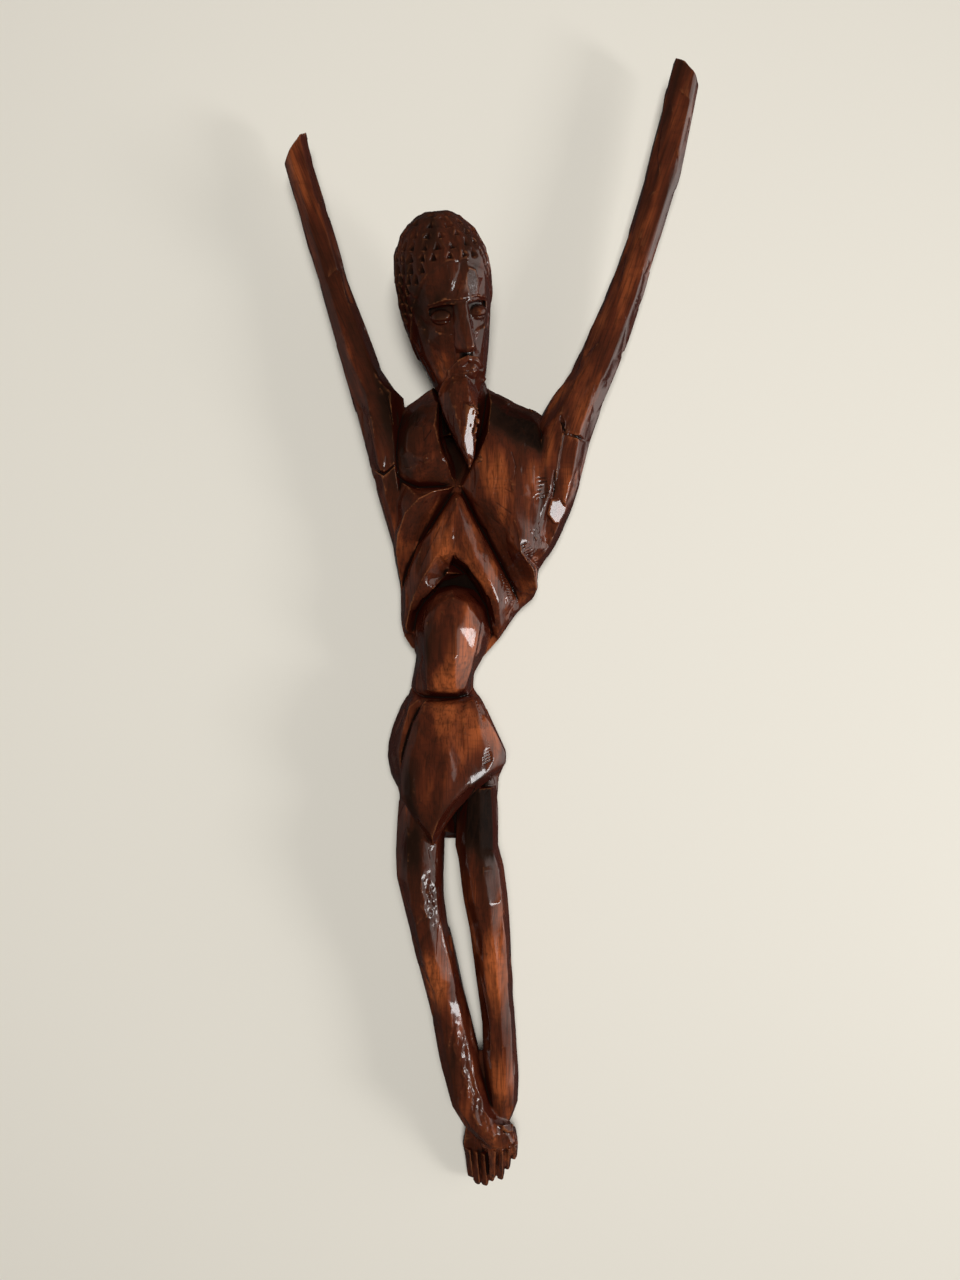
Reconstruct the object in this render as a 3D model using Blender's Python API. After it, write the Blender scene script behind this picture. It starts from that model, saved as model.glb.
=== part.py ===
"""A wooden christ figure, carved from one forked branch, lying on its planed back.

The wood lies along Y with the head towards +Y and the face up. Plan places are read as (u, v)
in a 960 x 1280 view straight down on the table, u to the right and v down, and each point
has its height over the table in millimetres on the drawing. The drawing is then brought
to the figure's real length. Blocks and limbs are joined into one solid, and the
knife's cuts are taken out of it last.
"""

import math
import random

import bmesh
import bpy
from mathutils import Matrix, Vector
from mathutils.bvhtree import BVHTree
from mathutils.geometry import delaunay_2d_cdt, intersect_point_line

# Driving sizes, in metres.
FIGURE_LENGTH = 0.560
GROOVE_WIDTH = 0.0018
GROOVE_DEPTH = 0.0030
CURL_WIDTH = 0.0040
CURL_DEPTH = 0.0024
CURL_SPACING = 0.0056
HAIR_THICKNESS = 0.0009
EYE_WIDTH = 0.0100
MOUTH_WIDTH = 0.0150
LINE_WIDTH = 0.0011
LINE_DEPTH = 0.0009
KNIFE_CLEARANCE = 0.0020

# Rows of curls: the share of the head's height they run round, how far apart the rows are
# as a share of the curls' spacing, and the last row's angle from the crown in degrees.
CURL_CENTRE = 0.62
ROW_SPACING = 0.80
LAST_CURLS = 140

# One curl: how far it runs up and down from its middle, where it is deepest, and how much
# longer it is on the side of the head, as shares of its width.
CURL_UP = 0.62
CURL_DOWN = 0.38
CURL_DEEPEST = 0.15
SIDE_STRETCH = 0.80

# No two curls are alike: how much their width varies as a share of it, how far they stray
# along their row as a share of their spacing, and how far they turn.
CURL_VARIETY = 0.18
CURL_STRAY = 0.14
CURL_TWIST = math.radians(14)
CURL_SEED = 4

# How deep a cut is at its two ends, as a share of its depth.
CUT_END = 0.35

# Faces of the hair that look down by more than this are the back of the head.
BEHIND = -0.35

# How far in and how far down the chamfer round a block's back begins, as shares.
CHAMFER_INSET = 0.25
CHAMFER_DROP = 0.55

# Plan places nearer to each other than this, in drawing millimetres, are one place.
LINE_TOLERANCE = 0.01

# The view that plan places are read in: its middle, its focal length and the eye's height.
MIDDLE_U = 480.0
MIDDLE_V = 640.0
FOCAL = 961.0
EYE_HEIGHT = 500.0
DRAWN_LENGTH = 568.0
SCALE = FIGURE_LENGTH / DRAWN_LENGTH


def at(u, v, height):
    """The point that is seen at (u, v) and is this many drawing millimetres over the table."""
    reach = (EYE_HEIGHT - height) / FOCAL
    return Vector(((u - MIDDLE_U) * reach, (MIDDLE_V - v) * reach, height)) * SCALE


def new_collection(name):
    collection = bpy.data.collections.new(name)
    bpy.context.scene.collection.children.link(collection)
    return collection


def varnished_wood():
    """Red-brown hardwood under a clear gloss varnish."""
    material = bpy.data.materials.new("varnished_wood")
    material.use_nodes = True
    shader = material.node_tree.nodes["Principled BSDF"]
    shader.inputs["Base Color"].default_value = (0.10, 0.030, 0.014, 1.0)
    shader.inputs["Metallic"].default_value = 0.0
    shader.inputs["Roughness"].default_value = 0.35
    return material


def add_object(name, bm, collection, material=None):
    """An object of this mesh, with its faces turned outwards."""
    bmesh.ops.recalc_face_normals(bm, faces=bm.faces)
    mesh = bpy.data.meshes.new(name)
    bm.to_mesh(mesh)
    bm.free()
    obj = bpy.data.objects.new(name, mesh)
    collection.objects.link(obj)
    if material is None:
        obj.hide_render = True
        obj.display_type = "WIRE"
    else:
        mesh.materials.append(material)
    return obj


def add_loft(bm, rings):
    """A closed skin through rings of equal numbers of points, with a face over each end."""
    loops = [[bm.verts.new(point) for point in ring] for ring in rings]
    count = len(loops[0])
    for lower, upper in zip(loops, loops[1:]):
        for i in range(count):
            j = (i + 1) % count
            bm.faces.new((lower[i], lower[j], upper[j], upper[i]))
    bm.faces.new(loops[0])
    bm.faces.new(loops[-1])


def add_hull(bm, points):
    """A faceted block: the convex hull of its corners."""
    corners = [bm.verts.new(point) for point in points]
    found = bmesh.ops.convex_hull(bm, input=corners)
    inside = [item for item in found["geom_interior"] if isinstance(item, bmesh.types.BMVert)]
    bmesh.ops.delete(bm, geom=inside, context="VERTS")


# The cross-sections of limbs, as the knife leaves them: shares of the half width and half depth.
ARM_SECTION = (
    (1.0, 0.25), (0.55, 0.95), (-0.35, 1.0), (-0.95, 0.45),
    (-1.0, -0.35), (-0.5, -1.0), (0.45, -1.0), (0.95, -0.4),
)
LEG_SECTION = (
    (1.0, 0.1), (0.72, 0.72), (0.12, 1.0), (-0.45, 0.9), (-0.95, 0.35),
    (-0.95, -0.45), (-0.5, -1.0), (0.5, -1.0), (0.95, -0.5),
)
TOE_SECTION = (
    (1.0, -0.2), (0.8, 0.7), (0.45, 1.0), (-0.9, 0.6), (-1.0, -0.3), (-0.8, -1.0), (0.8, -1.0),
)


def section_ring(profile, v, left, right, low, high):
    """A limb's cross-section at v, between the plan places left and right, low and high."""
    middle = (low + high) / 2
    edge = at(left, v, middle)
    other = at(right, v, middle)
    centre = (edge + other) / 2
    half_width = (other.x - edge.x) / 2
    half_depth = (high - low) / 2 * SCALE
    return [centre + Vector((half_width * x, 0, half_depth * z)) for x, z in profile]


def limb(bm, profile, stations):
    add_loft(bm, [section_ring(profile, *station) for station in stations])


def knife_cut(bm, point, away):
    """Takes off all that lies past a plane, and closes the cut."""
    geometry = bm.verts[:] + bm.edges[:] + bm.faces[:]
    bmesh.ops.bisect_plane(bm, geom=geometry, plane_co=point, plane_no=away, clear_outer=True)
    bmesh.ops.holes_fill(bm, edges=[edge for edge in bm.edges if edge.is_boundary])


def height_where_lines_cross(place, points, edges):
    """The mean height of the carving lines that cross at this plan place."""
    heights = []
    for i, j in edges:
        near, share = intersect_point_line(place, points[i].xy, points[j].xy)
        if 0 < share < 1 and (near.xy - place).length < LINE_TOLERANCE * SCALE:
            heights.append(points[i].z + (points[j].z - points[i].z) * share)
    return sum(heights) / len(heights)


def add_relief(bm, outline, lines, middle_u, back_share, back_height):
    """A block with a carved front: its skin runs through the outline and the carving lines.

    The back is a flat outline, drawn in towards middle_u by back_share, at back_height, with
    a chamfer round it.
    """
    points = []
    edges = []
    for line in [outline, *lines]:
        first = len(points)
        points += [at(*point) for point in line]
        edges += [(i, i + 1) for i in range(first, len(points) - 1)]
    rim = len(outline)
    edges.append((rim - 1, 0))
    flat = [point.xy for point in points]
    inside = 1
    plan, _, faces, sources, _, _ = delaunay_2d_cdt(
        flat, edges, [list(range(rim))], inside, LINE_TOLERANCE * SCALE)
    front = []
    rim_at = {}
    for place, source in zip(plan, sources):
        if source:
            height = points[min(source)].z
        else:
            height = height_where_lines_cross(place, points, edges)
        front.append(bm.verts.new((place.x, place.y, height)))
        rim_at.update((i, front[-1]) for i in source if i < rim)
    for face in faces:
        bm.faces.new([front[i] for i in face])
    middle_v = sum(v for _, v, _ in outline) / rim
    loops = [[rim_at[i] for i in range(rim)]]
    for drawn_in, sunk in ((CHAMFER_INSET, CHAMFER_DROP), (1, 1)):
        share = 1 + (back_share - 1) * drawn_in
        loops.append([
            bm.verts.new(at(middle_u + (u - middle_u) * share,
                            middle_v + (v - middle_v) * (1 + share) / 2,
                            height + (back_height - height) * sunk))
            for u, v, height in outline
        ])
    for upper, lower in zip(loops, loops[1:]):
        for i in range(rim):
            j = (i + 1) % rim
            bm.faces.new((upper[i], upper[j], lower[j], lower[i]))
    bm.faces.new(loops[-1])


# Chest and ribs. The rib cage is an upside-down V of four flaps, two on each side, with deep
# cuts between them, and all its lines meet below the beard.
def chest(bm):
    outline = [
        (432, 388, 20), (414, 402, 20), (398, 412, 20), (388, 440, 20), (386, 480, 20),
        (392, 530, 20), (394, 553, 18), (397, 575, 17), (401, 594, 16), (401, 618, 16),
        (404, 636, 15), (412, 648, 14), (448, 660, 12), (484, 656, 14), (498, 640, 15),
        (513, 618, 15), (522, 608, 15), (532, 600, 16), (538, 586, 17), (539, 569, 18),
        (553, 549, 19), (562, 510, 20), (566, 460, 20), (556, 425, 20), (537, 412, 20),
        (516, 404, 20), (488, 388, 20),
    ]
    lines = [
        # The left breast: its upper edge, its middle planes and the cut below it.
        [(434, 400, 30), (412, 414, 30), (400, 432, 31), (398, 455, 33), (403, 473, 32)],
        [(434, 425, 41), (409, 430, 37), (407, 455, 38), (426, 458, 44), (441, 452, 43)],
        [(426, 458, 44), (420, 478, 37)],
        [(392, 470, 28), (403, 481, 30), (418, 487, 32), (440, 486, 33), (456, 485, 31)],
        # The hollow that the beard hangs over.
        [(438, 403, 33), (438, 440, 41), (447, 463, 40), (452, 476, 34)],
        [(443, 403, 22), (445, 440, 22), (455, 470, 26), (456, 485, 31)],
        [(484, 400, 22), (478, 440, 22), (466, 468, 26), (461, 485, 31)],
        [(491, 402, 33), (488, 432, 42), (476, 460, 43), (466, 478, 37)],
        # The right breast and the planes below it.
        [(500, 412, 33), (534, 424, 32), (541, 452, 38), (533, 488, 41), (548, 500, 37)],
        [(498, 438, 43), (482, 470, 44), (506, 480, 46), (533, 488, 41)],
        [(506, 480, 46), (514, 500, 43), (536, 530, 37), (545, 548, 29)],
        # The right outer flap: its crest, and the cut inside it.
        [(462, 486, 36), (474, 496, 41), (495, 503, 43), (512, 514, 43), (519, 532, 42),
         (521, 551, 41), (534, 570, 37), (537, 588, 29)],
        [(489, 518, 38), (503, 538, 35), (513, 562, 32), (526, 590, 25)],
        [(462, 492, 33), (477, 521, 32), (489, 542, 30), (500, 562, 27), (511, 584, 23),
         (519, 602, 18)],
        # The right inner flap: its outer bank, its crest and its lower edge.
        [(461, 498, 38), (475, 526, 37), (487, 548, 35), (497, 567, 33), (507, 588, 29),
         (513, 606, 22)],
        [(456, 498, 40), (463, 530, 42), (474, 553, 41), (488, 580, 37), (500, 608, 31),
         (502, 628, 23)],
        [(453, 554, 38), (468, 566, 37), (481, 583, 35), (490, 601, 32), (495, 618, 28),
         (498, 633, 21)],
        [(453, 564, 22), (466, 574, 20), (477, 588, 19), (485, 606, 18), (488, 630, 16)],
        # The left inner flap.
        [(453, 498, 38), (436, 527, 37), (421, 548, 35), (411, 570, 32), (405, 596, 28),
         (403, 620, 24)],
        [(450, 528, 42), (436, 556, 39), (422, 580, 36), (411, 603, 31), (406, 628, 24)],
        [(453, 554, 38), (446, 573, 35), (434, 589, 32), (420, 601, 30), (412, 614, 26),
         (409, 632, 21)],
        [(453, 564, 22), (443, 581, 20), (430, 598, 19), (419, 612, 18), (416, 634, 15)],
        # The left outer flap: its crest, and the cut inside it.
        [(448, 489, 37), (434, 491, 41), (419, 498, 41), (405, 513, 38), (397, 535, 33),
         (396, 553, 28), (399, 575, 24)],
        [(451, 493, 32), (432, 524, 30), (416, 546, 28), (407, 569, 25), (402, 590, 20)],
    ]
    add_relief(bm, outline, lines, 462, 0.80, 0)


# The belly stands out as a smooth dome between the inner flaps.
def belly(bm):
    outline = [
        (453, 585, 22), (436, 589, 20), (422, 598, 18), (414, 618, 17), (413, 640, 17),
        (416, 660, 17), (411, 686, 17), (420, 704, 17), (468, 704, 17), (474, 686, 17),
        (475, 671, 17), (486, 651, 17), (492, 632, 17), (488, 606, 18), (474, 590, 20),
    ]
    lines = [
        [(452, 589, 33), (437, 595, 31), (426, 606, 29), (420, 630, 28), (421, 655, 28),
         (420, 676, 27), (418, 690, 26)],
        [(437, 607, 38), (426, 622, 37), (426, 655, 38), (427, 690, 33)],
        [(453, 598, 38), (455, 625, 42), (455, 658, 42), (453, 692, 35)],
        [(468, 604, 37), (480, 625, 35), (474, 655, 34), (468, 688, 30)],
    ]
    add_relief(bm, outline, lines, 447, 0.72, 6)


# Hips and the tops of the thighs, which the loincloth wraps.
def hips(bm):
    outline = [
        (411, 688, 17), (401, 706, 17), (393, 726, 18), (389, 742, 18), (388, 757, 18),
        (391, 773, 17), (398, 787, 16), (401, 806, 16), (406, 832, 16), (447, 838, 14),
        (456, 838, 14), (492, 830, 16), (496, 800, 17), (500, 776, 18), (506, 762, 19),
        (506, 751, 20), (500, 738, 20), (492, 721, 20), (483, 701, 19), (474, 688, 18),
    ]
    lines = [
        [(418, 700, 29), (409, 707, 29), (404, 727, 30), (399, 752, 30), (401, 778, 28)],
        [(420, 712, 27), (411, 727, 29), (404, 752, 30)],
        [(470, 700, 31), (484, 735, 33), (492, 758, 30), (486, 780, 26), (484, 798, 24)],
        [(444, 720, 30), (444, 800, 30)],
        [(452, 812, 17), (462, 806, 16), (474, 808, 17), (476, 830, 17), (458, 834, 15)],
        [(441, 830, 28), (410, 826, 28)],
    ]
    add_relief(bm, outline, lines, 447, 0.78, 0)


# The front of the loincloth hangs as one kite-shaped flap with a thick hem.
def loincloth(bm):
    outline = [
        (424, 701, 33), (413, 723, 35), (405, 750, 36), (400, 776, 36), (401, 798, 36),
        (408, 809, 37), (433, 845, 35), (444, 827, 35), (457, 809, 35), (475, 791, 33),
        (489, 780, 31), (506, 764, 27), (506, 752, 29), (499, 738, 32), (491, 721, 33),
        (482, 703, 32), (474, 695, 31), (442, 701, 33),
    ]
    lines = [
        [(427, 708, 36), (416, 735, 39), (409, 765, 41), (408, 790, 42), (430, 832, 42)],
        [(445, 706, 37), (449, 738, 43), (447, 776, 47), (441, 804, 47), (432, 838, 41)],
        [(473, 703, 36), (480, 733, 39), (494, 758, 36), (486, 773, 38), (471, 784, 42),
         (454, 799, 45), (441, 816, 45), (432, 838, 41)],
    ]
    add_relief(bm, outline, lines, 447, 0.94, 22)


def slant_cut(bm, one, other):
    """Takes off a raised arm's end along the line between two plan places."""
    away = (at(*one) - at(*other)).cross(Vector((0, 0, 1))).normalized()
    if away.y < 0:
        away.negate()
    knife_cut(bm, at(*one), away)


# Arms, raised high and cut off to a slant where the hands would begin.
def left_arm(bm):
    limb(bm, ARM_SECTION, [
        (128, 282, 306, 13, 27), (165, 285, 312.5, 13, 28), (205, 296.5, 325, 13, 28),
        (250, 309, 339, 12, 28), (295, 323, 353, 10, 28), (340, 335, 370, 8, 30),
        (370, 344, 381, 6, 32), (386, 348, 391, 5, 33), (400, 352, 405, 4, 34),
        (430, 361, 405, 3, 36), (467, 371, 404, 3, 35), (500, 380, 408, 3, 31),
        (530, 389, 410, 4, 27), (550, 395, 411, 6, 22),
    ])
    slant_cut(bm, (285, 157, 27), (301, 132, 27))


def right_arm(bm):
    limb(bm, ARM_SECTION, [
        (54, 676, 703, 15, 29), (80, 669, 699, 15, 30), (130, 657, 689, 15, 30),
        (178, 645.5, 679, 14, 30), (220, 633, 665.5, 13, 30), (265, 618, 651, 11, 30),
        (305, 602, 640, 9, 31), (340, 585, 628, 7, 32), (375, 570, 614, 5, 34),
        (400, 551, 604, 4, 35), (433, 531, 592, 3, 37), (445, 531, 588, 3, 37),
        (480, 532, 580, 3, 36), (515, 532, 569, 3, 33), (545, 529, 555, 5, 27),
        (566, 526, 540, 8, 20),
    ])
    slant_cut(bm, (699, 78, 29), (681, 57, 29))


def add_slab(bm, top, bottom_height):
    """A block under a carved top of a few corners, with upright sides."""
    add_hull(bm, [at(*point) for point in top] + [at(u, v, bottom_height) for u, v, _ in top])


# The fold of flesh that runs down from the right shoulder in front of the armpit.
def shoulder_fold(bm):
    add_slab(bm, [
        (559, 406, 34), (548, 420, 32), (541, 440, 36), (540, 470, 39), (541, 491, 38),
        (549, 499, 36), (556, 480, 38), (562, 442, 39), (566, 422, 38),
    ], 22)


# Legs. The left one, seen from above, crosses over the right one at the ankle.
def left_leg(bm):
    limb(bm, LEG_SECTION, [
        (785, 400, 444, 5, 31), (826, 397, 447, 6, 35), (850, 396, 444, 8, 38),
        (874, 397, 443, 9, 40), (897, 403, 443.5, 9, 41), (927, 410, 448.5, 8, 38),
        (957, 417, 456, 7, 35), (990, 426, 463, 6, 32), (1020, 433, 471, 6, 31),
        (1048, 438, 478, 6, 30), (1075, 444, 482, 8, 30), (1101, 451, 489, 10, 31),
        (1114, 459, 497, 12, 32), (1126, 466, 512, 12, 32), (1137, 476, 518, 11, 29),
        (1149, 484, 517.5, 9, 22),
    ])


def right_leg(bm):
    limb(bm, LEG_SECTION, [
        (785, 458, 496, 5, 31), (820, 456, 498, 6, 33), (845, 455, 498, 8, 35),
        (865, 459, 503, 9, 37), (895, 463, 507, 9, 38), (930, 470, 510, 7, 35),
        (960, 474, 511, 6, 32), (990, 478, 513, 5, 30), (1020, 482, 514.5, 4, 28),
        (1048, 482, 517, 3, 27), (1077, 484, 518, 2, 26), (1100, 484, 517, 1, 24),
        (1116, 480, 511, 0, 22), (1130, 468, 503, 0, 18), (1142, 462, 497, 0, 15),
        (1152, 464, 495, 0, 11),
    ])


# The feet: flat insteps that fall away to the toes, the left foot on the right one.
def upper_foot(bm):
    add_slab(bm, [
        (483, 1126, 30), (513, 1124, 28.5), (488, 1150, 26), (508, 1150, 24.5),
        (515, 1142, 24), (491, 1170, 15.5), (503, 1170, 15.5), (513, 1152, 18),
    ], 8)


def lower_foot(bm):
    add_slab(bm, [
        (466, 1126, 16), (492, 1128, 18), (463.5, 1144, 14), (494, 1144, 15),
        (469, 1166, 10), (475, 1176, 8.5), (488, 1177, 8.5), (494, 1168, 10),
    ], 0)


# Toes: long and straight like fingers, each a low ridge that ends a step before its neighbour.
UPPER_TOES = (
    ((493, 1142), (492.5, 1175)), ((500.5, 1142), (500.5, 1176)),
    ((507, 1140), (506.5, 1166)), ((512.5, 1136), (513, 1156)),
)
LOWER_TOES = (
    ((468, 1142), (471, 1173)), ((475, 1144), (477.5, 1180)),
    ((482.5, 1146), (485, 1181.5)), ((489.5, 1146), (491, 1177)),
)
TOE_WIDTH = 8.2
TOE_END = 4.0
UPPER_TOE_HEIGHTS = ((9, 28.5), (7, 16.5))
LOWER_TOE_HEIGHTS = ((0, 17.5), (0, 11))


def toes():
    """The cross-sections of each toe, in turn."""
    half = TOE_WIDTH / 2
    tip_half = half * 0.85
    for row, (base, tip) in ((UPPER_TOES, UPPER_TOE_HEIGHTS), (LOWER_TOES, LOWER_TOE_HEIGHTS)):
        for (u, v), (tip_u, tip_v) in row:
            yield [
                (v, u - half, u + half, *base),
                (tip_v - TOE_END, tip_u - half, tip_u + half, *tip),
                (tip_v, tip_u - tip_half, tip_u + tip_half, tip[0] + 0.5, tip[1] - 2),
            ]


# Where the shins meet below the long slit.
def shin_web(bm):
    add_hull(bm, [at(u, v, height) for u, v in ((473, 1050), (487, 1050), (482, 1122), (496, 1122))
                  for height in (5, 19)])


def neck(bm):
    limb(bm, ARM_SECTION, [
        (440, 434, 484, 6, 30), (408, 438, 490, 7, 32), (388, 441, 486, 8, 34),
        (365, 440, 477, 9, 36), (325, 436, 474, 11, 38),
    ])


# The head is modelled upright in drawing millimetres, x to its left ear, y to the crown and
# z to the front, and then leant, bowed and turned into place.
HEAD_HEIGHT = 87.0
HEAD_WIDTH = 44.4
HEAD_DEPTH = 53.0
HEAD_LEAN = math.radians(6)
HEAD_BOW = math.radians(25)
HEAD_TURN = math.radians(18)
HEAD_PLACE = (447, 312, 38)
HEAD_TO_PLAN = (
    Matrix.Translation(at(*HEAD_PLACE))
    @ Matrix.Rotation(HEAD_LEAN, 4, "Z")
    @ Matrix.Rotation(HEAD_BOW, 4, "X")
    @ Matrix.Rotation(HEAD_TURN, 4, "Y")
)
# Share of the height, half width, front and back, from the chin to the crown.
HEAD_PROFILE = (
    (0.00, 0.26, 0.72, 0.02), (0.05, 0.42, 0.84, -0.22), (0.16, 0.60, 0.88, -0.48),
    (0.30, 0.78, 0.86, -0.74), (0.44, 0.90, 0.84, -0.92), (0.56, 0.97, 0.88, -1.00),
    (0.68, 1.00, 0.90, -1.00), (0.80, 0.94, 0.78, -0.93), (0.90, 0.76, 0.54, -0.72),
    (0.97, 0.48, 0.26, -0.42), (1.00, 0.22, 0.04, -0.18),
)
HEAD_SIDES = 14


def on_head(x, share, z):
    """A place on the head: x and z in drawing millimetres, and the share of its height."""
    return HEAD_TO_PLAN @ (Vector((x, (share - 0.5) * HEAD_HEIGHT, z)) * SCALE)


def head_rings(swell):
    """Egg-shaped rings from chin to crown. swell is how far they stand out, in millimetres."""
    rings = []
    for share, half, front, back in HEAD_PROFILE:
        width = half * HEAD_WIDTH / 2 + swell
        depth = (front - back) * HEAD_DEPTH / 4 + swell
        middle = (front + back) * HEAD_DEPTH / 4
        lift = 0.5 + (share - 0.5) * (1 + 2 * swell / HEAD_HEIGHT)
        turns = [2 * math.pi * (i + 0.5) / HEAD_SIDES for i in range(HEAD_SIDES)]
        rings.append([on_head(width * math.sin(t), lift, middle + depth * math.cos(t))
                      for t in turns])
    return rings


def front_of_head(share):
    """How far forward the skin is in the middle of the face, in drawing millimetres."""
    for lower, upper in zip(HEAD_PROFILE, HEAD_PROFILE[1:]):
        if share <= upper[0]:
            mix = (share - lower[0]) / (upper[0] - lower[0])
            return (lower[2] + (upper[2] - lower[2]) * mix) * HEAD_DEPTH / 2
    return HEAD_PROFILE[-1][2] * HEAD_DEPTH / 2


# The lines that a face is laid out on, as shares of the head's height over the chin, and how
# far behind the middle the nape is, as a share of the head's depth.
EYE_LINE = 0.50
BROW_LINE = 0.575
NOSE_LINE = 0.315
MOUTH_LINE = 0.215
HAIR_LINE = 0.77
NAPE_LINE = 0.24
NAPE_SHARE = 0.15


def hairline_plane():
    """The plane that ends the hair: from the forehead down behind the jaw to the nape."""
    hairline = on_head(0, HAIR_LINE, front_of_head(HAIR_LINE))
    nape = on_head(0, NAPE_LINE, -NAPE_SHARE * HEAD_DEPTH)
    side = HEAD_TO_PLAN.to_3x3() @ Vector((1, 0, 0))
    return hairline, (nape - hairline).cross(side).normalized()


def skull(bm):
    add_loft(bm, head_rings(0))


# The hair is a close cap with a straight edge.
def hair_cap(bm):
    add_loft(bm, head_rings(HAIR_THICKNESS / SCALE))
    knife_cut(bm, *hairline_plane())


def nose(bm):
    bridge = front_of_head(BROW_LINE)
    base = front_of_head(NOSE_LINE)
    add_hull(bm, [
        on_head(x, share, z) for x, share, z in (
            (-3.4, BROW_LINE + 0.02, bridge - 3), (3.4, BROW_LINE + 0.02, bridge - 3),
            (-1.6, BROW_LINE - 0.02, bridge + 0.4), (1.6, BROW_LINE - 0.02, bridge + 0.4),
            (-1.7, NOSE_LINE + 0.035, base + 7.4), (1.7, NOSE_LINE + 0.035, base + 7.4),
            (-1.6, NOSE_LINE + 0.005, base + 6.2), (1.6, NOSE_LINE + 0.005, base + 6.2),
            (-4.0, NOSE_LINE + 0.085, base - 0.6), (4.0, NOSE_LINE + 0.085, base - 0.6),
            (-5.4, NOSE_LINE + 0.03, base + 0.6), (5.4, NOSE_LINE + 0.03, base + 0.6),
            (-5.0, NOSE_LINE, base - 1), (5.0, NOSE_LINE, base - 1),
        )
    ])


def brow(bm, side):
    edge = front_of_head(BROW_LINE)
    add_hull(bm, [
        on_head(side * x, share, edge + z) for x, share, z in (
            (-0.6, BROW_LINE + 0.006, 0.3), (8.0, BROW_LINE + 0.016, -0.6),
            (14.5, BROW_LINE - 0.008, -5.6), (-0.6, BROW_LINE + 0.085, -3.2),
            (8.0, BROW_LINE + 0.085, -5.0), (15.0, BROW_LINE + 0.04, -9.6),
            (-0.6, BROW_LINE - 0.004, -6), (9.0, BROW_LINE, -7), (14.5, BROW_LINE - 0.02, -10),
        )
    ])


def cheek(bm, side):
    edge = front_of_head(0.40)
    add_hull(bm, [
        on_head(side * x, share, edge + z) for x, share, z in (
            (5.5, 0.405, -0.8), (11.5, 0.425, -2.6), (3.5, 0.345, -0.6), (11.5, 0.35, -4.2),
            (8.0, 0.27, -3.0), (15.5, 0.38, -9.0), (4.0, 0.43, -3.5), (13.5, 0.45, -7.0),
            (7.0, 0.38, -7), (13.0, 0.30, -10),
        )
    ])


# An eye is a calm lowered lid in a shallow socket.
def socket_cut(bm, side):
    edge = front_of_head(EYE_LINE)
    add_hull(bm, [
        on_head(side * x, share, edge + z) for x, share, z in (
            (3.0, BROW_LINE - 0.022, -2.6), (8.5, BROW_LINE - 0.014, -4.4),
            (14.0, BROW_LINE - 0.028, -8.4), (3.4, 0.448, -0.4), (8.5, 0.435, -1.8),
            (14.0, 0.45, -6.8), (2.6, BROW_LINE - 0.004, 5), (14.5, BROW_LINE - 0.008, 3),
            (3.2, 0.43, 5), (14.5, 0.42, 3),
        )
    ])


# Half the distance between the eyes and how deep they lie, in drawing millimetres, how far
# they turn outwards, and the lowered lid's half height and half depth as shares of its width.
EYE_APART = 8.8
EYE_SUNK = 5.0
EYE_OUTWARDS = math.radians(20)
LID_HEIGHT = 0.34
LID_DEPTH = 0.40


def eye_frame(side):
    """Puts a unit ball where the eye is."""
    middle = on_head(side * EYE_APART, EYE_LINE, front_of_head(EYE_LINE) - EYE_SUNK)
    turn = HEAD_TO_PLAN.to_3x3().to_4x4() @ Matrix.Rotation(side * EYE_OUTWARDS, 4, "Y")
    size = Matrix.Diagonal((EYE_WIDTH / 2, EYE_WIDTH * LID_HEIGHT, EYE_WIDTH * LID_DEPTH, 1))
    return Matrix.Translation(middle) @ turn @ size


def eyelid(bm, side):
    bmesh.ops.create_uvsphere(bm, u_segments=12, v_segments=8, radius=1, matrix=eye_frame(side))


def lip(bm, upward):
    """The upper lip with upward 1, and the lower one with -1."""
    edge = front_of_head(MOUTH_LINE)
    half = MOUTH_WIDTH / 2 / SCALE
    far = MOUTH_LINE + upward * 0.042
    add_hull(bm, [
        on_head(x, share, edge + z) for x, share, z in (
            (-half, MOUTH_LINE, -2.2), (half, MOUTH_LINE, -2.2), (-2.6, MOUTH_LINE, 1.8),
            (2.6, MOUTH_LINE, 1.8), (-3.5, far, 0.1), (3.5, far, 0.1),
            (-half, MOUTH_LINE - upward * 0.002, -6), (half, MOUTH_LINE - upward * 0.002, -6),
            (0, far, -6),
        )
    ])


def moustache(bm, side):
    edge = front_of_head(NOSE_LINE)
    add_hull(bm, [
        on_head(side * x, share, edge + z) for x, share, z in (
            (-0.5, NOSE_LINE - 0.012, 1.6), (-0.5, MOUTH_LINE + 0.062, 2.2),
            (5.0, NOSE_LINE - 0.035, 1.2), (5.0, MOUTH_LINE + 0.040, 1.9),
            (9.6, MOUTH_LINE + 0.010, -2.4), (8.6, MOUTH_LINE - 0.006, -1.2),
            (10.2, MOUTH_LINE - 0.075, -4.2), (8.8, MOUTH_LINE - 0.085, -3.4),
            (-0.5, MOUTH_LINE + 0.065, -5), (9.0, MOUTH_LINE, -9),
        )
    ])


# The beard is long, narrow and pointed, and stands clear of the chest.
def beard(bm):
    limb(bm, ARM_SECTION, [
        (372, 450, 468, 34, 44), (384, 443, 474, 30, 50), (396, 438, 478, 29, 53),
        (412, 442, 477.5, 32, 55), (428, 449, 477, 35, 55), (444, 456.5, 476, 39, 55),
        (458, 463, 474, 43, 53), (468, 467.5, 471, 47, 51),
    ])


def v_cut(bm, points, width, depth, up):
    """A V-shaped cut along a path of points on a surface that faces up, shallow at its ends."""
    rings = []
    last = len(points) - 1
    for i, point in enumerate(points):
        ahead = points[min(i + 1, last)] - points[max(i - 1, 0)]
        share = CUT_END if i in (0, last) else 1
        slope = (depth * share + KNIFE_CLEARANCE) / depth
        across = up.cross(ahead).normalized() * width / 2 * slope
        rim = point + up * KNIFE_CLEARANCE
        rings.append([rim + across, point - up * depth * share, rim - across])
    add_loft(bm, rings)


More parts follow.
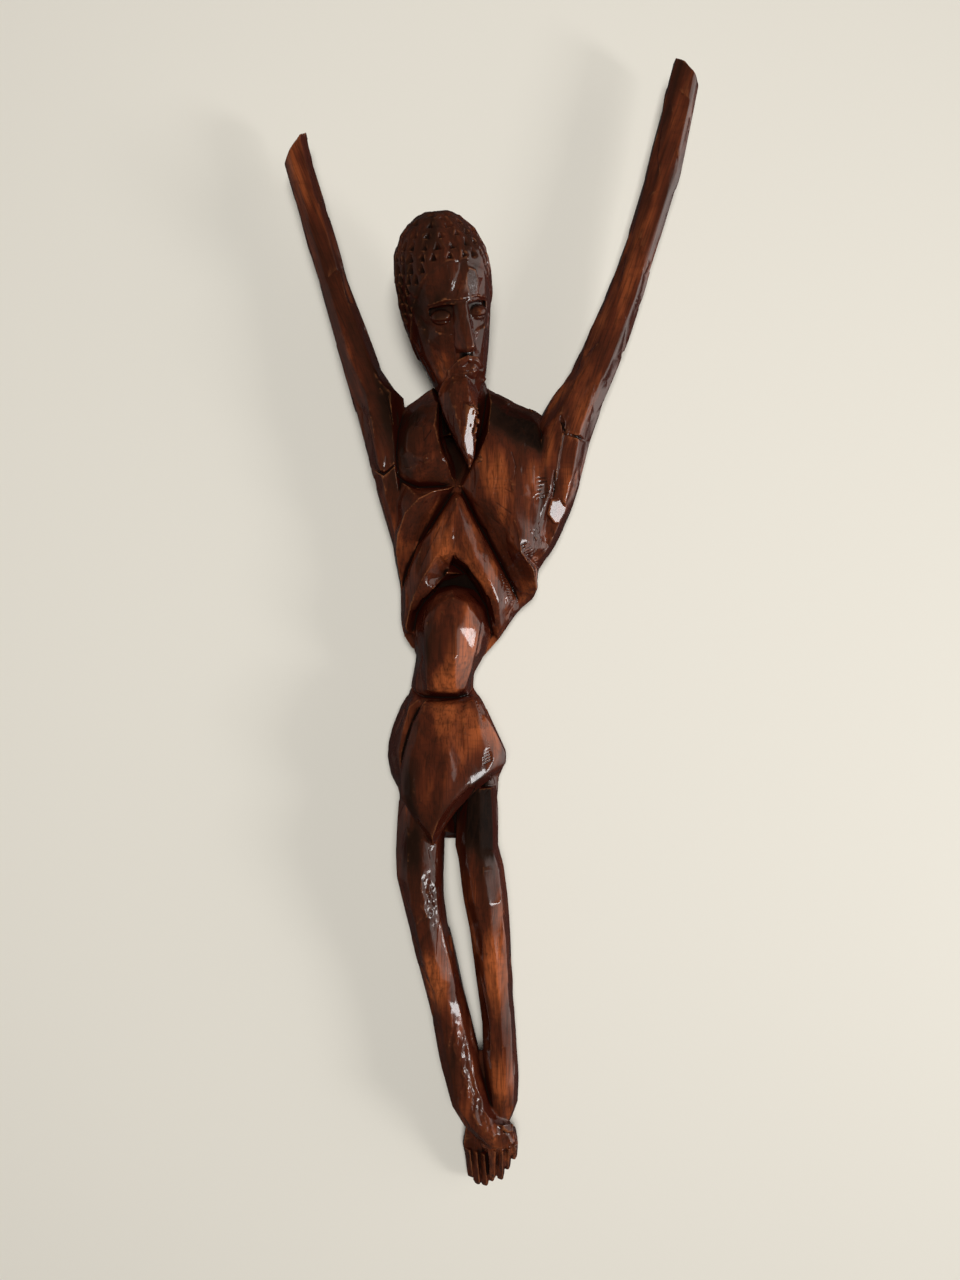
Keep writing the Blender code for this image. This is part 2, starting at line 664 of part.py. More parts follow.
def groove_cut(bm, path):
    """A groove along plan places with the height of the surface there."""
    v_cut(bm, [at(*point) for point in path], GROOVE_WIDTH, GROOVE_DEPTH, Vector((0, 0, 1)))


def lid_line(bm, side):
    """The edge of the lowered lid, an arc below the middle of the eye."""
    arc = [math.radians(angle) for angle in (12, 50, 90, 130, 168)]
    low = -0.48
    reach = math.sqrt(1 - low * low)
    frame = eye_frame(side)
    points = [frame @ Vector((math.cos(a) * reach, low, math.sin(a) * reach)) for a in arc]
    v_cut(bm, points, LINE_WIDTH, LINE_DEPTH, HEAD_TO_PLAN.to_3x3() @ Vector((0, 0, 1)))


def mouth_line(bm):
    edge = front_of_head(MOUTH_LINE)
    half = MOUTH_WIDTH / 2 / SCALE
    corner, middle = MOUTH_LINE - 0.008, MOUTH_LINE + 0.002
    points = [on_head(x, share, edge + z) for x, share, z in (
        (-half, corner, -1.6), (-2.5, middle, 1.6), (2.5, middle, 1.6), (half, corner, -1.6))]
    v_cut(bm, points, LINE_WIDTH, LINE_DEPTH, HEAD_TO_PLAN.to_3x3() @ Vector((0, 0, 1)))


GROOVES = (
    # Round the waist, under the belly.
    [(406, 685, 24), (420, 695, 31), (440, 700, 36), (458, 697, 37), (480, 689, 28)],
    # Between the flaps of the ribs.
    [(460, 486, 33), (477, 521, 32), (500, 562, 27), (519, 602, 18)],
    [(457, 486, 33), (432, 524, 30), (407, 569, 25), (402, 590, 20)],
    [(456, 484, 33), (440, 486, 33), (418, 487, 32), (403, 481, 30), (394, 472, 30)],
    # Between each arm and the breast.
    [(386, 392, 33), (391, 415, 36), (397, 445, 36), (404, 474, 34)],
    [(368, 466, 25), (384, 474, 33), (396, 464, 33)],
    [(537, 406, 28), (538, 418, 31), (540, 432, 34)],
    [(561, 415, 36), (564, 432, 38), (576, 436, 37), (590, 442, 28), (600, 446, 20)],
    [(555, 470, 38), (554.5, 482, 37), (553, 498, 34)],
    # Between the left hip and the flap of the loincloth.
    [(424, 700, 31), (413, 722, 31), (404, 750, 31), (399, 778, 29)],
)


def curl_cuts(bm, cap):
    """Rows of three-cornered nicks over the hair, laid like bricks and wider apart behind.

    The rows run round the crown, at even steps of angle from it.
    """
    tree = BVHTree.FromObject(cap, bpy.context.evaluated_depsgraph_get())
    frame = HEAD_TO_PLAN.to_3x3()
    crown = frame @ Vector((0, 1, 0))
    core = on_head(0, CURL_CENTRE, 0)
    spacing = CURL_SPACING / SCALE
    radius = (HEAD_WIDTH + HEAD_DEPTH) / 4
    rows = int(math.radians(LAST_CURLS) * radius / (spacing * ROW_SPACING))
    chance = random.Random(CURL_SEED)
    for row in range(1, rows + 1):
        down = row * spacing * ROW_SPACING / radius
        count = max(5, int(2 * math.pi * radius * math.sin(down) / spacing))
        for column in range(count):
            stray = CURL_STRAY * chance.uniform(-1, 1)
            width = CURL_WIDTH * (1 + CURL_VARIETY * chance.uniform(-1, 1))
            twist = CURL_TWIST * chance.uniform(-1, 1)
            turn = 2 * math.pi * (column + stray + 0.5 * (row % 2)) / count
            outwards = frame @ Vector((math.sin(turn), 0, math.cos(turn)))
            ray = outwards * math.sin(down) + crown * math.cos(down)
            place, normal, _, _ = tree.ray_cast(core, ray)
            if place is None or not on_hair(place):
                continue
            if normal.z < BEHIND and (row + column) % 2:
                continue
            side = Matrix.Rotation(twist, 3, normal) @ crown.cross(outwards)
            add_nick(bm, place, normal, side.normalized(), width)


def on_hair(place):
    """Whether this place is far enough behind the hairline to take a nick."""
    edge, away = hairline_plane()
    return (place - edge).dot(away) < -CURL_DOWN * CURL_WIDTH


def add_nick(bm, place, normal, side, width):
    """A pit with three corners, the long one towards the crown, deepest at its lower end."""
    up = normal.cross(side).normalized()
    ear = HEAD_TO_PLAN.to_3x3() @ Vector((1, 0, 0))
    stretch = 1 + SIDE_STRETCH * abs(normal.dot(ear))
    deepest = place - normal * CURL_DEPTH - up * width * CURL_DEEPEST
    reach = (CURL_DEPTH + KNIFE_CLEARANCE) / CURL_DEPTH
    corners = [
        place + up * width * CURL_UP * stretch,
        place - up * width * CURL_DOWN - side * width / 2,
        place - up * width * CURL_DOWN + side * width / 2,
    ]
    add_hull(bm, [deepest] + [deepest + (corner - deepest) * reach for corner in corners])


def add_boolean(obj, name, operation, tools):
    modifier = obj.modifiers.new(name, "BOOLEAN")
    modifier.operation = operation
    modifier.operand_type = "COLLECTION"
    modifier.collection = tools
    modifier.solver = "EXACT"


def set_on_origin(solids, cutters, collection):
    """Hangs everything on an empty that brings the middle of the figure's back to the origin."""
    points = [vertex.co for obj in solids for vertex in obj.data.vertices]
    low = Vector(min(point[axis] for point in points) for axis in range(3))
    high = Vector(max(point[axis] for point in points) for axis in range(3))
    frame = bpy.data.objects.new("figure_frame", None)
    collection.objects.link(frame)
    frame.location = (-(low.x + high.x) / 2, -(low.y + high.y) / 2, -low.z)
    for obj in [*solids, *cutters]:
        obj.parent = frame


def build():
    for obj in list(bpy.data.objects):
        bpy.data.objects.remove(obj)
    figure = new_collection("wooden_christ_figure")
    blocks = new_collection("joined_blocks")
    cuts = new_collection("knife_cuts")

    def block(name, make, *settings, collection=blocks, material=None):
        bm = bmesh.new()
        make(bm, *settings)
        return add_object(name, bm, collection, material)

    hollows = new_collection("face_hollows")
    carved = block("carved_figure", chest, collection=figure, material=varnished_wood())
    for name, make in (
        ("belly", belly), ("hips", hips), ("loincloth", loincloth), ("neck", neck),
        ("left_arm", left_arm), ("right_arm", right_arm),
        ("left_leg", left_leg), ("right_leg", right_leg), ("shin_web", shin_web),
        ("shoulder_fold", shoulder_fold),
        ("upper_foot", upper_foot), ("lower_foot", lower_foot),
        ("nose", nose), ("beard", beard),
    ):
        block(name, make)
    head = block("skull", skull)
    cap = block("hair_cap", hair_cap)
    for side_name, side in (("left", -1), ("right", 1)):
        for name, make in (("brow", brow), ("cheek", cheek), ("eyelid", eyelid),
                           ("moustache", moustache)):
            block(f"{side_name}_{name}", make, side)
        block(f"{side_name}_socket", socket_cut, side, collection=hollows)
        block(f"{side_name}_lid_line", lid_line, side, collection=cuts)
    block("upper_lip", lip, 1)
    block("lower_lip", lip, -1)
    block("mouth_line", mouth_line, collection=cuts)
    for number, toe in enumerate(toes(), start=1):
        block(f"toe_{number}", limb, TOE_SECTION, toe)
    for number, path in enumerate(GROOVES, start=1):
        block(f"groove_{number}", groove_cut, path, collection=cuts)
    bpy.context.view_layer.update()
    block("curls", curl_cuts, cap, collection=cuts)

    add_boolean(head, "hollowed", "DIFFERENCE", hollows)
    add_boolean(carved, "joined", "UNION", blocks)
    add_boolean(carved, "cut", "DIFFERENCE", cuts)
    set_on_origin([carved, *blocks.objects], [*cuts.objects, *hollows.objects], figure)


build()
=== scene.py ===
"""A wooden christ figure, carved from one forked branch, lying on a pale table top.

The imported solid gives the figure's form and place. Here its skin gets the wear of its planes,
the marks that the knife left, its cracks, its wood and its varnish.
"""

import math

import bmesh
import bpy
import numpy as np
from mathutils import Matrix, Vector
from mathutils.bvhtree import BVHTree


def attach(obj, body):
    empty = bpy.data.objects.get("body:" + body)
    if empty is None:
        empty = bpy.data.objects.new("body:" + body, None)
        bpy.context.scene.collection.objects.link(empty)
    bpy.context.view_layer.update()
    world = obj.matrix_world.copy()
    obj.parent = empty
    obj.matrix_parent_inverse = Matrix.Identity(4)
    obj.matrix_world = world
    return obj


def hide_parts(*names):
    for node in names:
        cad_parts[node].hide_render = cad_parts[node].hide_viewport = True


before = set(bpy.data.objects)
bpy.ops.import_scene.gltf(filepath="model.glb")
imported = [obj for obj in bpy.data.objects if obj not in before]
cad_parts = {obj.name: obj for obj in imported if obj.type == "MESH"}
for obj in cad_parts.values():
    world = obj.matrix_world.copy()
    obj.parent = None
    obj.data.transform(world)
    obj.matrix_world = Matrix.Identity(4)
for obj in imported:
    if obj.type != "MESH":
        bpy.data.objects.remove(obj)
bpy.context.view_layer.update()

# The view looks straight down on the table. The photograph is 960 x 1280 pixels, and a focal
# length of 961 of them is a 27 mm lens on a sensor 36 mm long.
PHOTO_WIDTH = 960
PHOTO_HEIGHT = 1280
FOCAL_PIXELS = 961
SENSOR_LENGTH = 36.0
EYE_PLACE = Vector((-0.00545, -0.00425, 0.49296))

camera = bpy.data.objects.new("camera", bpy.data.cameras.new("camera"))
bpy.context.scene.collection.objects.link(camera)
camera.data.sensor_width = SENSOR_LENGTH
camera.data.lens = SENSOR_LENGTH * FOCAL_PIXELS / PHOTO_HEIGHT
camera.location = EYE_PLACE
bpy.context.scene.camera = camera

# The figure is one piece of red hardwood. It was roughed out with a knife in long planes, its
# ribs, cloth, toes and hair were cut in, and it was then varnished. The skin starts as a fine
# grid laid over the solid, so that every mark below can be cut into it.
VOXEL = 0.00045
MERGE_DISTANCE = 1e-6

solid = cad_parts["carved_figure"]
loose = bmesh.new()
loose.from_mesh(solid.data)
bmesh.ops.remove_doubles(loose, verts=loose.verts, dist=MERGE_DISTANCE)
skin = BVHTree.FromBMesh(loose)
figure_mesh = bpy.data.meshes.new("varnished_figure")
loose.to_mesh(figure_mesh)
loose.free()
figure = bpy.data.objects.new("varnished_figure", figure_mesh)
bpy.context.scene.collection.objects.link(figure)


def bake(obj):
    """Turns what an object's modifiers make into its own plain mesh."""
    graph = bpy.context.evaluated_depsgraph_get()
    made = bpy.data.meshes.new_from_object(
        obj.evaluated_get(graph), preserve_all_data_layers=True, depsgraph=graph)
    obj.modifiers.clear()
    old = obj.data
    obj.data = made
    bpy.data.meshes.remove(old)


remesh = figure.modifiers.new("fine_grid", "REMESH")
remesh.mode = "VOXEL"
remesh.voxel_size = VOXEL
remesh.use_smooth_shade = True
bake(figure)

# The planes of the trunk and the cloth were rubbed down and run softly into each other, while
# those of the arms, legs and head are as the knife left them. Deep creases stay crisp all over.
WORN_SOFTENING = 22
KNIFE_SOFTENING = 3
CREASE_FROM = math.radians(14)
CREASE_TO = math.radians(34)
CREASE_ROUNDS = 3
CREASE_SPREAD = 2.4
WORN_TOP = 0.105
WORN_BOTTOM = -0.085
WORN_FADE = 0.02
WORN_SIDE = 0.048
TRUNK_MIDDLE = -0.010

# A Mix node has two inputs and an output of its own for vectors, at these places.
VECTOR_A, VECTOR_B, VECTOR_MIXED = 4, 5, 1

wood = bpy.data.materials.new("varnished_red_hardwood")


def add_node(tree, kind, inputs=None, **settings):
    """Adds a node: settings are its own values, and inputs the values or links of its sockets."""
    node = tree.nodes.new(kind)
    for name, value in settings.items():
        setattr(node, name, value)
    for key, value in (inputs or {}).items():
        if isinstance(value, bpy.types.NodeSocket):
            tree.links.new(value, node.inputs[key])
        else:
            node.inputs[key].default_value = value
    return node


SOCKET_KINDS = {
    int: "NodeSocketInt", float: "NodeSocketFloat", str: "NodeSocketString",
    bpy.types.Object: "NodeSocketObject",
}


def new_tree(name, sizes):
    """A Geometry Nodes tree with a geometry and these named sizes as its inputs."""
    tree = bpy.data.node_groups.new(name, "GeometryNodeTree")
    tree.interface.new_socket("Geometry", in_out="OUTPUT", socket_type="NodeSocketGeometry")
    tree.interface.new_socket("Geometry", in_out="INPUT", socket_type="NodeSocketGeometry")
    for size, value in sizes.items():
        tree.interface.new_socket(size, in_out="INPUT", socket_type=SOCKET_KINDS[type(value)])
    return tree, add_node(tree, "NodeGroupInput").outputs


def end_tree(tree, geometry):
    """Ends a tree in real geometry of the figure's wood."""
    real = add_node(tree, "GeometryNodeRealizeInstances", {"Geometry": geometry})
    coated = add_node(tree, "GeometryNodeSetMaterial", {
        "Geometry": real.outputs["Geometry"], "Material": wood})
    add_node(tree, "NodeGroupOutput", {"Geometry": coated.outputs["Geometry"]})


def work(obj, tree, sizes):
    """Works a tree over an object with these sizes, and keeps the mesh that comes out."""
    modifier = obj.modifiers.new(tree.name, "NODES")
    modifier.node_group = tree
    for item in tree.interface.items_tree:
        if item.in_out == "INPUT" and item.name in sizes:
            modifier[item.identifier] = sizes[item.name]
    bake(obj)


def vertex_places(obj):
    """The places of an object's vertices, one in each row."""
    places = np.empty(len(obj.data.vertices) * 3)
    obj.data.vertices.foreach_get("co", places)
    return places.reshape(-1, 3)


def store(obj, name, kind, values):
    """Keeps a value for each vertex as a named attribute."""
    layer = obj.data.attributes.new(name, kind, "POINT")
    layer.data.foreach_set("vector" if kind == "FLOAT_VECTOR" else "value", values.ravel())


spots = vertex_places(figure)
down_from_top = np.clip((WORN_TOP - spots[:, 1]) / WORN_FADE, 0, 1)
up_from_bottom = np.clip((spots[:, 1] - WORN_BOTTOM) / WORN_FADE, 0, 1)
from_side = np.clip((WORN_SIDE - np.abs(spots[:, 0] - TRUNK_MIDDLE)) / WORN_FADE, 0, 1)
store(figure, "worn", "FLOAT", down_from_top * up_from_bottom * from_side)

sizes = {
    "Solid": solid, "Worn softening": WORN_SOFTENING, "Knife softening": KNIFE_SOFTENING,
    "Crease from": CREASE_FROM, "Crease to": CREASE_TO, "Crease rounds": CREASE_ROUNDS,
    "Crease spread": CREASE_SPREAD}
tree, source = new_tree("soften_planes", sizes)
solid_form = add_node(tree, "GeometryNodeObjectInfo", {"Object": source["Solid"]})
place = add_node(tree, "GeometryNodeInputPosition")
on_solid = add_node(tree, "GeometryNodeProximity", {
    "Geometry": solid_form.outputs["Geometry"], "Sample Position": place.outputs["Position"]},
    target_element="FACES")
fitted = add_node(tree, "GeometryNodeSetPosition", {
    "Geometry": source["Geometry"], "Position": on_solid.outputs["Position"]})
angle = add_node(tree, "GeometryNodeInputMeshEdgeAngle")
sharp = add_node(tree, "ShaderNodeMapRange", {
    "Value": angle.outputs["Unsigned Angle"], "From Min": source["Crease from"],
    "From Max": source["Crease to"]}, interpolation_type="SMOOTHSTEP")
near_crease = add_node(tree, "GeometryNodeBlurAttribute", {
    0: sharp.outputs["Result"], "Iterations": source["Crease rounds"]}, data_type="FLOAT")
crease = add_node(tree, "ShaderNodeMath", {
    0: near_crease.outputs["Value"], 1: source["Crease spread"]},
    operation="MULTIPLY", use_clamp=True)
kept = add_node(tree, "GeometryNodeStoreNamedAttribute", {
    "Geometry": fitted.outputs["Geometry"], "Name": "crease", "Value": crease.outputs["Value"]},
    data_type="FLOAT", domain="POINT")
crease_there = add_node(tree, "GeometryNodeInputNamedAttribute", {"Name": "crease"},
                        data_type="FLOAT")
worn_there = add_node(tree, "GeometryNodeInputNamedAttribute", {"Name": "worn"},
                      data_type="FLOAT")
blurred = {}
for how in ("Worn softening", "Knife softening"):
    blurred[how] = add_node(tree, "GeometryNodeBlurAttribute", {
        "Value": place.outputs["Position"], "Iterations": source[how]},
        data_type="FLOAT_VECTOR").outputs["Value"]
plane = add_node(tree, "ShaderNodeMix", {
    "Factor": worn_there.outputs["Attribute"], VECTOR_A: blurred["Knife softening"],
    VECTOR_B: blurred["Worn softening"]}, data_type="VECTOR")
softened = add_node(tree, "ShaderNodeMix", {
    "Factor": crease_there.outputs["Attribute"], VECTOR_A: plane.outputs[VECTOR_MIXED],
    VECTOR_B: place.outputs["Position"]}, data_type="VECTOR")
moved = add_node(tree, "GeometryNodeSetPosition", {
    "Geometry": kept.outputs["Geometry"], "Position": softened.outputs[VECTOR_MIXED]})
end_tree(tree, moved.outputs["Geometry"])
work(figure, tree, sizes)

# The knife left each plane as a run of long, flat facets, no two quite in line.
FACET_WIDTH = 0.0080
FACET_LENGTH = 0.036
FACET_DEPTH = 0.00035
FACET_TILT = 0.09
FACET_SEED = 7.0
FACING_ROUNDS = 6
STEP_ROUNDS = 1

sizes = {
    "Facet width": FACET_WIDTH, "Facet length": FACET_LENGTH, "Facet depth": FACET_DEPTH,
    "Facet tilt": FACET_TILT, "Facet seed": FACET_SEED, "Facing rounds": FACING_ROUNDS,
    "Step rounds": STEP_ROUNDS}
tree, source = new_tree("knife_facets", sizes)
place = add_node(tree, "GeometryNodeInputPosition")
cell_size = add_node(tree, "ShaderNodeCombineXYZ", {
    "X": source["Facet width"], "Y": source["Facet length"], "Z": source["Facet width"]})
in_cells = add_node(tree, "ShaderNodeVectorMath", {
    0: place.outputs["Position"], 1: cell_size.outputs["Vector"]}, operation="DIVIDE")
seeded = add_node(tree, "ShaderNodeVectorMath", {
    0: in_cells.outputs["Vector"], 1: source["Facet seed"]}, operation="ADD")
cells = add_node(tree, "ShaderNodeTexVoronoi", {"Vector": seeded.outputs["Vector"], "Scale": 1.0})
unseeded = add_node(tree, "ShaderNodeVectorMath", {
    0: cells.outputs["Position"], 1: source["Facet seed"]}, operation="SUBTRACT")
middle = add_node(tree, "ShaderNodeVectorMath", {
    0: unseeded.outputs["Vector"], 1: cell_size.outputs["Vector"]}, operation="MULTIPLY")
on_skin = add_node(tree, "GeometryNodeProximity", {
    "Geometry": source["Geometry"], "Sample Position": middle.outputs["Vector"]},
    target_element="FACES")
normal = add_node(tree, "GeometryNodeInputNormal")
even_normal = add_node(tree, "GeometryNodeBlurAttribute", {
    "Value": normal.outputs["Normal"], "Iterations": source["Facing rounds"]},
    data_type="FLOAT_VECTOR")
facing = add_node(tree, "GeometryNodeSampleNearestSurface", {
    "Mesh": source["Geometry"], "Value": even_normal.outputs["Value"],
    "Sample Position": middle.outputs["Vector"]}, data_type="FLOAT_VECTOR")
# A cell's colour is random, from 0 to 1 in each direction.
lean = add_node(tree, "ShaderNodeVectorMath", {
    0: cells.outputs["Color"], 1: (0.5, 0.5, 0.5)}, operation="SUBTRACT")
tilt = add_node(tree, "ShaderNodeVectorMath", {
    0: lean.outputs["Vector"], "Scale": source["Facet tilt"]}, operation="SCALE")
tilted = add_node(tree, "ShaderNodeVectorMath", {
    0: facing.outputs["Value"], 1: tilt.outputs["Vector"]}, operation="ADD")
plane = add_node(tree, "ShaderNodeVectorMath", {0: tilted.outputs["Vector"]},
                 operation="NORMALIZE")
from_skin = add_node(tree, "ShaderNodeVectorMath", {
    0: on_skin.outputs["Position"], 1: place.outputs["Position"]}, operation="SUBTRACT")
off_plane = add_node(tree, "ShaderNodeVectorMath", {
    0: from_skin.outputs["Vector"], 1: plane.outputs["Vector"]}, operation="DOT_PRODUCT")
lowest = add_node(tree, "ShaderNodeMath", {0: source["Facet depth"], 1: -1.0},
                  operation="MULTIPLY")
shaved = add_node(tree, "ShaderNodeClamp", {
    "Value": off_plane.outputs["Value"], "Min": lowest.outputs["Value"],
    "Max": source["Facet depth"]})
crease = add_node(tree, "GeometryNodeInputNamedAttribute", {"Name": "crease"}, data_type="FLOAT")
open_plane = add_node(tree, "ShaderNodeMath", {0: 1.0, 1: crease.outputs["Attribute"]},
                      operation="SUBTRACT")
cut = add_node(tree, "ShaderNodeMath", {
    0: shaved.outputs["Result"], 1: open_plane.outputs["Value"]}, operation="MULTIPLY")
step = add_node(tree, "ShaderNodeVectorMath", {
    0: plane.outputs["Vector"], "Scale": cut.outputs["Value"]}, operation="SCALE")
even_step = add_node(tree, "GeometryNodeBlurAttribute", {
    "Value": step.outputs["Vector"], "Iterations": source["Step rounds"]},
    data_type="FLOAT_VECTOR")
faceted = add_node(tree, "GeometryNodeSetPosition", {
    "Geometry": source["Geometry"], "Offset": even_step.outputs["Value"]})
end_tree(tree, faceted.outputs["Geometry"])
work(figure, tree, sizes)

# The blade chattered and tore the wood in some places: on the shin's ridge, the instep, the
# shoulder fold, the flaps' edges and the beard. Each is a place in the photograph and a reach in
# metres, and is filled with small scoops, as long along the grain as the stretch says.
SCOOPED_PLACES = (
    (430, 897, 0.0065), (458, 1052, 0.0050), (465, 1080, 0.0055), (474, 1106, 0.0055),
    (483, 1120, 0.0050), (506, 1127, 0.0045), (567, 428, 0.0045), (515, 607, 0.0040),
    (507, 588, 0.0035), (538, 540, 0.0045), (463, 410, 0.0080), (468, 432, 0.0070),
    (469, 452, 0.0055), (462, 805, 0.0030), (490, 778, 0.0025),
)
SCOOP_SIZE = 0.0024
SCOOP_DEPTH = 0.0014
SCOOP_STRETCH = 1.6
SCOOP_RIM = 0.8
GRAIN_REACH = 2


def seen_at(u, v):
    """The place on the figure that the photograph shows at this pixel."""
    across = (u - PHOTO_WIDTH / 2) / FOCAL_PIXELS
    up = (PHOTO_HEIGHT / 2 - v) / FOCAL_PIXELS
    return skin.ray_cast(EYE_PLACE, Vector((across, up, -1)))[0]


def near_places(spots, places):
    """How near each spot is to some places, from 0 to 1, with a longer reach along the grain."""
    total = np.zeros(len(spots))
    for u, v, reach in places:
        away = (spots - np.array(seen_at(u, v))) / (reach, GRAIN_REACH * reach, reach)
        total = np.maximum(total, np.exp(-(away ** 2).sum(axis=1)))
    return total


store(figure, "scooped", "FLOAT", near_places(vertex_places(figure), SCOOPED_PLACES))

sizes = {
    "Scoop size": SCOOP_SIZE, "Scoop depth": SCOOP_DEPTH, "Scoop stretch": SCOOP_STRETCH,
    "Scoop rim": SCOOP_RIM}
tree, source = new_tree("scooped_places", sizes)
place = add_node(tree, "GeometryNodeInputPosition")
normal = add_node(tree, "GeometryNodeInputNormal")
long_size = add_node(tree, "ShaderNodeMath", {
    0: source["Scoop size"], 1: source["Scoop stretch"]}, operation="MULTIPLY")
cell_size = add_node(tree, "ShaderNodeCombineXYZ", {
    "X": source["Scoop size"], "Y": long_size.outputs["Value"], "Z": source["Scoop size"]})
in_cells = add_node(tree, "ShaderNodeVectorMath", {
    0: place.outputs["Position"], 1: cell_size.outputs["Vector"]}, operation="DIVIDE")
cells = add_node(tree, "ShaderNodeTexVoronoi", {
    "Vector": in_cells.outputs["Vector"], "Scale": 1.0}, feature="F1")
from_rim = add_node(tree, "ShaderNodeMath", {
    0: cells.outputs["Distance"], 1: source["Scoop rim"]}, operation="SUBTRACT")
where = add_node(tree, "GeometryNodeInputNamedAttribute", {"Name": "scooped"}, data_type="FLOAT")
here = add_node(tree, "ShaderNodeMath", {
    0: from_rim.outputs["Value"], 1: where.outputs["Attribute"]}, operation="MULTIPLY")
depth = add_node(tree, "ShaderNodeMath", {
    0: here.outputs["Value"], 1: source["Scoop depth"]}, operation="MULTIPLY")
step = add_node(tree, "ShaderNodeVectorMath", {
    0: normal.outputs["Normal"], "Scale": depth.outputs["Value"]}, operation="SCALE")
scooped = add_node(tree, "GeometryNodeSetPosition", {
    "Geometry": source["Geometry"], "Offset": step.outputs["Vector"]})
end_tree(tree, scooped.outputs["Geometry"])
work(figure, tree, sizes)

# A few places were shaved flat with one stroke, and gleam: a place in the photograph, half the
# facet's width and length in metres, and its leans to the right and towards the head in degrees.
# Its outline is six-sided. Steep sides below a facet stay as they are.
SHAVED_PLACES = (
    (557, 511, 0.0054, 0.0060, 28, -16), (471, 430, 0.0038, 0.0130, 31, -21),
    (507, 1127, 0.0030, 0.0034, 30, 8), (473, 282, 0.0024, 0.0060, 33, -24),
)
SHAVED_RIM = 0.14
CORNER_CUT = 0.75
STEEP_SIDE = 0.55

spots = vertex_places(figure)
facings = np.empty(len(figure.data.vertices) * 3)
figure.data.vertex_normals.foreach_get("vector", facings)
is_top = facings.reshape(-1, 3)[:, 2] > STEEP_SIDE
all_shaved = np.zeros(len(spots))
for u, v, half_width, half_length, right_lean, up_lean in SHAVED_PLACES:
    facing = np.array((math.tan(math.radians(right_lean)), math.tan(math.radians(up_lean)), 1.0))
    facing /= np.linalg.norm(facing)
    centre = np.array(seen_at(u, v))
    away = (spots - centre) / (half_width, half_length, half_length)
    corner = CORNER_CUT * np.abs(away[:, 0] + away[:, 1])
    share = np.clip((1 - np.maximum(np.abs(away).max(axis=1), corner)) / SHAVED_RIM, 0, 1)
    over = (spots - centre) @ facing
    over = np.where(is_top, over, np.clip(over, 0, None))
    spots -= np.outer(share * over, facing)
    all_shaved = np.maximum(all_shaved, share)
figure.data.vertices.foreach_set("co", spots.ravel())
figure.data.update()
store(figure, "shaved", "FLOAT", all_shaved)

# Rows of short strokes across the grain, where the blade was pushed in jerks. Each row is its
# first stroke, its last stroke and how many there are, as places in the photograph.
STROKE_ROWS = (
    ((521, 545, 528, 542), (530, 566, 537, 562), 9),
    ((499, 572, 505, 575), (512, 606, 518, 606), 13),
    ((463, 706, 478, 702), (470, 742, 486, 738), 12),
    ((478, 741, 486, 738), (484, 764, 492, 760), 9),
    ((476, 790, 487, 783), (478, 815, 488, 803), 6),
    ((536, 478, 546, 478), (537, 499, 549, 496), 6),
    ((408, 424, 414, 414), (424, 440, 431, 430), 4),
    ((530, 531, 538, 545), (540, 528, 545, 537), 4),
)
STROKE_WIDTH = 0.0011
STROKE_DEPTH = 0.00050
# Cracks along the grain and at the ledge under the shoulder fold.
CRACKS = (
    ((534.5, 466), (535, 482), (534, 498)), ((554, 478), (554.5, 488), (553.5, 497)),
    ((563, 421), (565, 434), (576, 436), (589, 442)), ((473.5, 722), (475.5, 728), (477, 736)),
    ((491, 774), (490, 781)), ((475, 784), (474, 790)),
)
CRACK_WIDTH = 0.0010
CRACK_DEPTH = 0.00070
# Shallow scores that fan out from the breastbone, where the knife followed the ribs.
SCORES = (
    ((472, 491), (497, 503), (515, 516), (532, 534)), ((475, 503), (497, 522), (513, 540)),
    ((478, 488), (503, 488), (526, 499)), ((443, 488), (425, 503), (410, 528)),
    ((443, 522), (431, 544), (421, 566)), ((472, 513), (481, 535), (492, 558)),
    ((418, 411), (416, 426), (417, 441)), ((426, 417), (423, 430), (425, 442)),
    ((492, 470), (494, 482), (492, 492)), ((512, 452), (516, 466), (514, 480)),
)
SCORE_WIDTH = 0.0011
SCORE_DEPTH = 0.00030


def add_lines(name, lines):
    """An object of loose edges, one run for each line of places in the photograph."""
    points = []
    edges = []
    for line in lines:
        edges += [(i, i + 1) for i in range(len(points), len(points) + len(line) - 1)]
        points += [seen_at(u, v) for u, v in line]
    mesh = bpy.data.meshes.new(name)
    mesh.from_pydata(points, edges, [])
    return bpy.data.objects.new(name, mesh)


def row_of_strokes(first, last, count):
    """The strokes between the first and the last, evenly spaced."""
    for i in range(count):
        share = i / (count - 1)
        u0, v0, u1, v1 = (a + (b - a) * share for a, b in zip(first, last))
        yield (u0, v0), (u1, v1)


strokes = add_lines("strokes", [stroke for row in STROKE_ROWS for stroke in row_of_strokes(*row)])
cracks = add_lines("cracks", CRACKS)
scores = add_lines("scores", SCORES)
cuts = (
    {"Lines": strokes, "Cut width": STROKE_WIDTH, "Cut depth": STROKE_DEPTH, "Kept as": "stroke"},
    {"Lines": cracks, "Cut width": CRACK_WIDTH, "Cut depth": CRACK_DEPTH, "Kept as": "crack"},
    {"Lines": scores, "Cut width": SCORE_WIDTH, "Cut depth": SCORE_DEPTH, "Kept as": "score"},
)
tree, source = new_tree("cut_along_lines", cuts[0])
lines = add_node(tree, "GeometryNodeObjectInfo", {"Object": source["Lines"]})
place = add_node(tree, "GeometryNodeInputPosition")
normal = add_node(tree, "GeometryNodeInputNormal")
nearest = add_node(tree, "GeometryNodeProximity", {
    "Geometry": lines.outputs["Geometry"], "Sample Position": place.outputs["Position"]},
    target_element="EDGES")
half_width = add_node(tree, "ShaderNodeMath", {0: source["Cut width"], 1: 0.5},
                      operation="MULTIPLY")
